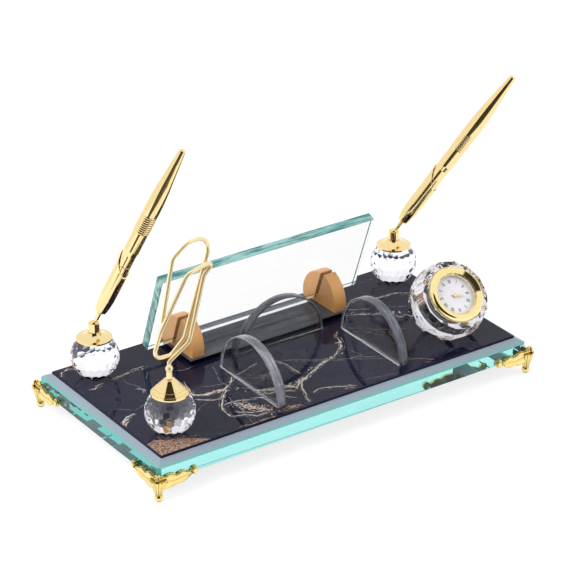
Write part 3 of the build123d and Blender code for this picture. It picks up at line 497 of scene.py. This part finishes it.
# How far a vein stays from the slab's edge, and how deep it lies, in shares of the air
VEIN_MARGIN = SLAB_ARRIS + 0.2
VEIN_SUNK, VEIN_RISE = 0.8, 0.5
# Waves that a vein wanders by and swells by, each a pitch and a size, and how its strands part
WANDER = ((0.09, 1.1), (0.3, 0.6), (1.1, 0.3), (2.3, 0.14))
SWELL = ((0.4, 0.8), (1.7, 0.5))
PART_PITCH, PART_SIZE = 0.12, 0.9
# Steps in the noise from vein to vein and from strand to strand, so that each wanders by itself
VEIN_APART, STRAND_APART = 17.0, 5.0


def flush(share):
    # Height of a vein's face: a hair above the ground, about level with the slab's top in the frame
    return SLAB_HIGH.z - AIR * (VEIN_SUNK - VEIN_RISE * share)


def inside_slab(spot):
    return Vector((
        min(max(spot.x, SLAB_LOW.x + VEIN_MARGIN), SLAB_HIGH.x - VEIN_MARGIN),
        min(max(spot.y, SLAB_LOW.y + VEIN_MARGIN), SLAB_HIGH.y - VEIN_MARGIN),
    ))


def waves(seed, sizes):
    return sum(size * noise(seed * pitch) for pitch, size in sizes)


veins = bmesh.new()
for number, (kind, width, stops) in enumerate(VEINS):
    # A ribbon along a line that wanders, swelling, thinning and breaking on its way
    line = []
    for start, end in zip(stops, stops[1:]):
        start, end = Vector(start), Vector(end)
        count = max(2, round((end - start).length / VEIN_STEP))
        line += [start.lerp(end, step / count) for step in range(count)]
    line.append(Vector(stops[-1]))
    for strand, (shift, thin, whole) in enumerate(STRANDS if width >= BUNDLE_FROM else STRANDS[:1]):
        row = []
        for step, spot in enumerate(line):
            ahead = line[min(step + 1, len(line) - 1)] - line[max(step - 1, 0)]
            across = Vector((-ahead.y, ahead.x)).normalized()
            seed = Vector((spot.x, spot.y, VEIN_APART * number + STRAND_APART * strand))
            drift = waves(seed, WANDER) + shift * (1 + PART_SIZE * noise(seed * PART_PITCH))
            swell = whole + waves(seed, SWELL)
            ends = min(1.0, (step + 1) / VEIN_TAPER, (len(line) - step) / VEIN_TAPER)
            half = width * thin / 2 * max(swell, VEIN_THINNEST) * ends
            pair = [inside_slab(spot + across * (drift + half * way)) for way in (-1, 1)]
            row.append([veins.verts.new((*point, flush((number + strand / 3) / len(VEINS)))) for point in pair])
        for (a, b), (d, c) in zip(row, row[1:]):
            veins.faces.new((a, d, c, b)).material_index = kind

# A sandy patch in the front left corner, with a ragged edge
PATCH = ((-146, -51), (-146, -70), (-104, -70), (-111, -65), (-118, -59.5), (-127, -55), (-137, -50))
PATCH_PITCHES = (0.9, 1.3)
PATCH_STRAY = 0.9
PATCH_LAYER = 3.0
PATCH_SHIFT = 9 * ALONG_X
ragged = []
for start, end in zip(PATCH, PATCH[1:] + PATCH[:1]):
    start, end = Vector(start), Vector(end)
    count = round((end - start).length / VEIN_STEP)
    for step in range(count):
        spot = start.lerp(end, step / count)
        seed = Vector((spot.x, spot.y, PATCH_LAYER))
        stray = Vector((noise(seed * PATCH_PITCHES[0]), noise(seed * PATCH_PITCHES[1] + PATCH_SHIFT)))
        ragged.append(inside_slab(spot + stray * PATCH_STRAY))
veins.faces.new([veins.verts.new((*spot, flush(0.5))) for spot in ragged]).material_index = VEIN_GRAIN

# Grains: clusters of small chips, each a centre, reach along and across, turn, count and kind
GRAINS = (
    ((-122, -56), 16, 3, -24, 70, VEIN_GRAIN),
    ((-62, -48), 13, 4.5, -58, 150, VEIN_WHITE),
    ((-58, -53), 12, 4.5, -30, 90, VEIN_GRAIN),
    ((-39, -64), 7, 2.6, -10, 90, VEIN_GRAIN),
    ((-72, -18), 13, 1.8, -14, 70, VEIN_WHITE),
    ((-34, -37), 15, 2.6, -24, 90, VEIN_WHITE),
    ((-12, -37), 10, 2.4, 14, 60, VEIN_WHITE),
    ((10, -27), 18, 2.4, 20, 60, VEIN_WHITE),
    ((38, -12), 10, 2.4, 60, 34, VEIN_WHITE),
    ((88, 14), 20, 1.6, -34, 40, VEIN_WHITE),
    ((-141, -19), 8, 2.0, 40, 40, VEIN_WHITE),
    ((-104, 37), 16, 1.2, 4, 26, VEIN_WHITE),
)
CHIP_CORNERS, CHIP_LONG = 5, 1.9
CHIP_SIZE = (0.12, 0.6)
CHIP_RAGGED = (0.5, 1.1)
CHIP_SPREAD, CHIP_LEAN = 0.5, 0.6
chance = random.Random(11)
for centre, reach_along, reach_across, turn, count, kind in GRAINS:
    heading = radians(turn)
    for number in range(count):
        along, across = chance.gauss(0, CHIP_SPREAD) * reach_along, chance.gauss(0, CHIP_SPREAD) * reach_across
        spot = Vector(centre) + Matrix.Rotation(heading, 2) @ Vector((along, across))
        size = chance.uniform(*CHIP_SIZE)
        lean = Matrix.Rotation(heading + chance.gauss(0, CHIP_LEAN), 2)
        corners = []
        for corner in range(CHIP_CORNERS):
            angle = corner * 2 * pi / CHIP_CORNERS
            reach = size * chance.uniform(*CHIP_RAGGED)
            point = inside_slab(spot + lean @ Vector((CHIP_LONG * reach * cos(angle), reach * sin(angle))))
            corners.append(veins.verts.new((*point, flush(1 + number / count))))
        veins.faces.new(corners).material_index = kind
veins.normal_update()
for face in veins.faces:
    if face.normal.z < 0:
        face.normal_flip()
add_piece("slab_veins", veins, "base", [vein_white, vein_fine, vein_grain])

# Name plate: clear faces, polished right end and underside, and ground edges elsewhere
PLATE_SIZE = (175.4, 7.0, 64.2)
PLATE_ARRIS = 0.5
plate_axis = Vector(joints["plate_lift"]["axis"])
plate_low, plate_high = span("name_plate")
plate = bmesh.new()
bmesh.ops.create_cube(plate, size=1, matrix=Matrix.Diagonal((*PLATE_SIZE, 1)))
round_off(plate, plate.edges[:], PLATE_ARRIS)
plate.normal_update()
for face in plate.faces:
    polished = abs(face.normal.y) > STRAIGHT or face.normal.z < -STRAIGHT or face.normal.x > STRAIGHT
    face.material_index = POLISHED if polished else GROUND
place = Matrix.Translation((plate_low + plate_high) / 2) @ turned_to(ALONG_X, plate_axis.cross(ALONG_X), plate_axis)
bmesh.ops.transform(plate, matrix=place, verts=plate.verts)
add_piece("glass_plate", plate, "plate", [plate_glass, plate_edge], ["name_plate"])

# Card stops: clear half-discs with a ground rim
STOP_ARRIS = 1.0
STOP_STEPS = 72
STOP_FOOT = 0.01
for name, along, stop_edge in (
    ("left", ALONG_Y, left_stop_edge_painted_lit), ("right", ALONG_Y, right_stop_edge_painted_shade), ("back", ALONG_X, back_stop_edge_painted_shade),
):
    low, high = span(f"{name}_card_stop")
    middle = (low + high) / 2
    across = UP.cross(along)
    radius = high.z - low.z
    thick = abs((high - low).dot(across))
    stop = bmesh.new()
    upright = Matrix.Translation((0, -thick / 2, 0)) @ Matrix.Rotation(pi / 2, 4, "X")
    bmesh.ops.create_circle(stop, cap_ends=True, segments=2 * STOP_STEPS, radius=radius, matrix=upright)
    cut_away(stop, Vector(), -UP)
    pushed = bmesh.ops.extrude_face_region(stop, geom=stop.faces[:])["geom"]
    moved = [item for item in pushed if isinstance(item, bmesh.types.BMVert)]
    bmesh.ops.translate(stop, vec=(0, thick, 0), verts=moved)
    bmesh.ops.recalc_face_normals(stop, faces=stop.faces)
    arc = []
    for edge in stop.edges:
        start, end = (vert.co for vert in edge.verts)
        if abs(start.y - end.y) < thick / 2 and max(start.z, end.z) > STOP_FOOT:
            arc.append(edge)
    round_off(stop, arc, STOP_ARRIS)
    stop.normal_update()
    for face in stop.faces:
        face.material_index = POLISHED if abs(face.normal.y) > STRAIGHT else GROUND
        face.smooth = face.material_index == GROUND
    place = Matrix.Translation((middle.x, middle.y, low.z)) @ turned_to(along, across, UP)
    bmesh.ops.transform(stop, matrix=place, verts=stop.verts)
    add_piece(f"{name}_stop_glass", stop, "base", [stop_glass, stop_edge], [f"{name}_card_stop"])

# Clock dial: enamel, with numerals and minute marks printed on it
dial_white = plain("satin_white_enamel", {"Base Color": linear("#F3F1FA"), "Roughness": 0.35})
dress(dial_white, "clock_dial")
ink = plain("dial_ink", {"Base Color": linear("#454A66"), "Roughness": 0.5})
INK_THICK = 0.03
DIAL_TURN, HOUR_TURN, MINUTE_TURN = -5.0, 30, 6
NUMERALS = ("XII", "I", "II", "III", "IIII", "V", "VI", "VII", "VIII", "IX", "X", "XI")
NUMERAL_LOW, NUMERAL_TALL = 9.4, 2.6
# Each letter has a width, and strokes with a start and an end across and up it, and a width
LETTER_WIDE = {"I": 0.62, "V": 1.2, "X": 1.2}
LETTER_STROKES = {
    "I": (((0.5, 0), (0.5, 1), 0.42),),
    "V": (((0.1, 1), (0.5, 0), 0.46), ((0.5, 0), (0.9, 1), 0.24)),
    "X": (((0.1, 1), (0.9, 0), 0.46), ((0.1, 0), (0.9, 1), 0.24)),
}
TICK_LOW, TICK_HIGH = 12.9, 13.5
HOUR_TICK, MINUTE_TICK = 0.3, 0.12
face_center = Vector(joints["minute_turn"]["pos_m"]) / MM
face_out = Vector(joints["clock_pull"]["axis"])
dial_level = max((vert.co / MM - face_center).dot(face_out) for vert in nodes["clock_dial"].data.vertices)
ink_center = face_center + face_out * (dial_level + INK_THICK)
ink_place = Matrix.Translation(ink_center) @ turned_to(ALONG_X, face_out.cross(ALONG_X), face_out)
print_shape = bmesh.new()


def print_stroke(angle, start, end, width):
    # One inked bar, drawn upright at twelve o'clock and turned to its hour
    start, end = Vector((*start, 0)), Vector((*end, 0))
    ahead = (end - start).normalized()
    bar = turned_to(ahead.cross(UP), ahead, UP) @ Matrix.Diagonal((width, (end - start).length, 1, 1))
    turn = Matrix.Rotation(radians(DIAL_TURN - angle), 4, "Z")
    place = ink_place @ turn @ Matrix.Translation((start + end) / 2) @ bar
    bmesh.ops.create_grid(print_shape, x_segments=1, y_segments=1, size=0.5, matrix=place)


for hour, numeral in enumerate(NUMERALS):
    left = -sum(LETTER_WIDE[letter] for letter in numeral) / 2
    for letter in numeral:
        wide = LETTER_WIDE[letter]
        for start, end, width in LETTER_STROKES[letter]:
            ends = [(left + wide * x, NUMERAL_LOW + NUMERAL_TALL * y) for x, y in (start, end)]
            print_stroke(hour * HOUR_TURN, *ends, width)
        left += wide
for minute in range(60):
    width = HOUR_TICK if minute % 5 == 0 else MINUTE_TICK
    print_stroke(minute * MINUTE_TURN, (0, TICK_LOW), (0, TICK_HIGH), width)
add_piece("dial_print", print_shape, "clock", [ink])


# Camera
def unit(azimuth, elevation):
    """The direction towards an azimuth and an elevation, in degrees."""
    level = cos(radians(elevation))
    return Vector((sin(radians(azimuth)) * level, -cos(radians(azimuth)) * level, sin(radians(elevation))))


camera = bpy.data.objects.new("camera", bpy.data.cameras.new("camera"))
bpy.context.scene.collection.objects.link(camera)
towards_camera = unit(VIEW_AZIMUTH, VIEW_ELEVATION)
camera.location = (Vector(VIEW_TARGET) + towards_camera * VIEW_DISTANCE) * MM
camera.rotation_euler = (-towards_camera).to_track_quat("-Z", "Y").to_euler()
camera.data.sensor_width = SENSOR
camera.data.lens = SENSOR * FOCAL_PIXELS / IMAGE_PIXELS
camera.data.clip_start = CLIP_NEAR
camera.data.clip_end = CLIP_FAR
bpy.context.scene.camera = camera


def set_on_stage(name, shape, material, only_in_gloss=False):
    """Adds a stage object from a shape in metres."""
    mesh = bpy.data.meshes.new(name)
    shape.to_mesh(mesh)
    shape.free()
    mesh.materials.append(material)
    made = bpy.data.objects.new(name, mesh)
    bpy.context.scene.collection.objects.link(made)
    if only_in_gloss:
        made.visible_camera = False
        made.visible_diffuse = False
        made.visible_transmission = False
        made.visible_shadow = False


def seen_share(tree):
    """1 where the camera, gloss or glass looks, and 0 for other light."""
    path = node(tree, "LightPath").outputs
    seen = node(tree, "Math", {0: path["Is Camera Ray"], 1: path["Is Glossy Ray"]}, operation="MAXIMUM")
    seen = node(tree, "Math", {0: seen.outputs[0], 1: path["Is Transmission Ray"]}, operation="MAXIMUM")
    return seen.outputs[0]


# Floor: white paper that keeps a faint shadow, and that gloss and glass see as white
FLOOR_SIZE = 8.0
FLOOR_GLOW = 0.78
floor_level = cad_box[0].z
floor_shape = bmesh.new()
bmesh.ops.create_grid(floor_shape, x_segments=1, y_segments=1, size=FLOOR_SIZE / 2)
bmesh.ops.translate(floor_shape, vec=(0, 0, floor_level), verts=floor_shape.verts)
paper, tree, shader = surface("white_paper", {
    "Base Color": (0.3, 0.3, 0.3, 1), "Roughness": 0.9, "Emission Color": (1, 1, 1, 1),
})
glow = node(tree, "Math", {0: seen_share(tree), 1: FLOOR_GLOW}, operation="MULTIPLY")
tree.links.new(glow.outputs[0], shader.inputs["Emission Strength"])
set_on_stage("floor", floor_shape, paper)

# The unlit studio behind the camera, seen only in polished metal and stone: a tall curved card and a dark floor
CARD_DISTANCE = 1500.0
CARD_HALF_TURN = 42.0
CARD_LOW, CARD_HIGH = -1.0, 62.0
DARK_NEAR, DARK_FAR = 330.0, 1600.0
dark = plain("unlit_studio", {"Base Color": (0.06, 0.055, 0.045, 1), "Roughness": 1.0})
card_shape = bmesh.new()
bmesh.ops.create_grid(card_shape, x_segments=12, y_segments=12, size=1)
for vert in card_shape.verts:
    azimuth = VIEW_AZIMUTH + vert.co.x * CARD_HALF_TURN
    elevation = CARD_LOW + (vert.co.y + 1) / 2 * (CARD_HIGH - CARD_LOW)
    vert.co = unit(azimuth, elevation) * CARD_DISTANCE * MM
set_on_stage("dark_card", card_shape, dark, only_in_gloss=True)
ground_shape = bmesh.new()
bmesh.ops.create_grid(ground_shape, x_segments=12, y_segments=4, size=1)
for vert in ground_shape.verts:
    reach = DARK_NEAR + (vert.co.y + 1) / 2 * (DARK_FAR - DARK_NEAR)
    vert.co = unit(VIEW_AZIMUTH + vert.co.x * CARD_HALF_TURN, 0) * reach * MM
    vert.co.z = floor_level + MM
set_on_stage("dark_ground", ground_shape, dark, only_in_gloss=True)

# White world, softer for the light that it gives than for what is seen of it
WORLD_GIVES, WORLD_SHOWS = 0.66, 1.0
world = bpy.data.worlds.new("white_studio")
bpy.context.scene.world = world
world.use_nodes = True
tree = world.node_tree
level = node(tree, "MapRange", {"Value": seen_share(tree), "To Min": WORLD_GIVES, "To Max": WORLD_SHOWS})
background = tree.nodes["Background"]
background.inputs["Color"].default_value = (1, 1, 1, 1)
tree.links.new(level.outputs["Result"], background.inputs["Strength"])

# Soft lamps: one large key from the left and above, one fill from the right.
# Each has an azimuth, an elevation, a distance, a size and a power.
LAMPS = (("key_softbox", -95, 45, 1600, 1200, 20.0), ("fill_softbox", 50, 35, 1800, 1000, 6.0))
for name, azimuth, elevation, distance, size, power in LAMPS:
    lamp = bpy.data.lights.new(name, "AREA")
    lamp.size = size * MM
    lamp.energy = power
    holder = bpy.data.objects.new(name, lamp)
    bpy.context.scene.collection.objects.link(holder)
    direction = unit(azimuth, elevation)
    holder.location = direction * distance * MM
    holder.rotation_euler = (-direction).to_track_quat("-Z", "Y").to_euler()
    holder.visible_camera = False
    holder.visible_glossy = False
    holder.visible_transmission = False

bpy.context.scene.view_settings.view_transform = "Standard"

# Enough bounces for light to pass through the crystals
BOUNCES, CLEAR_BOUNCES = 32, 16
bpy.context.scene.cycles.max_bounces = BOUNCES
bpy.context.scene.cycles.glossy_bounces = BOUNCES
bpy.context.scene.cycles.transmission_bounces = BOUNCES
bpy.context.scene.cycles.transparent_max_bounces = CLEAR_BOUNCES
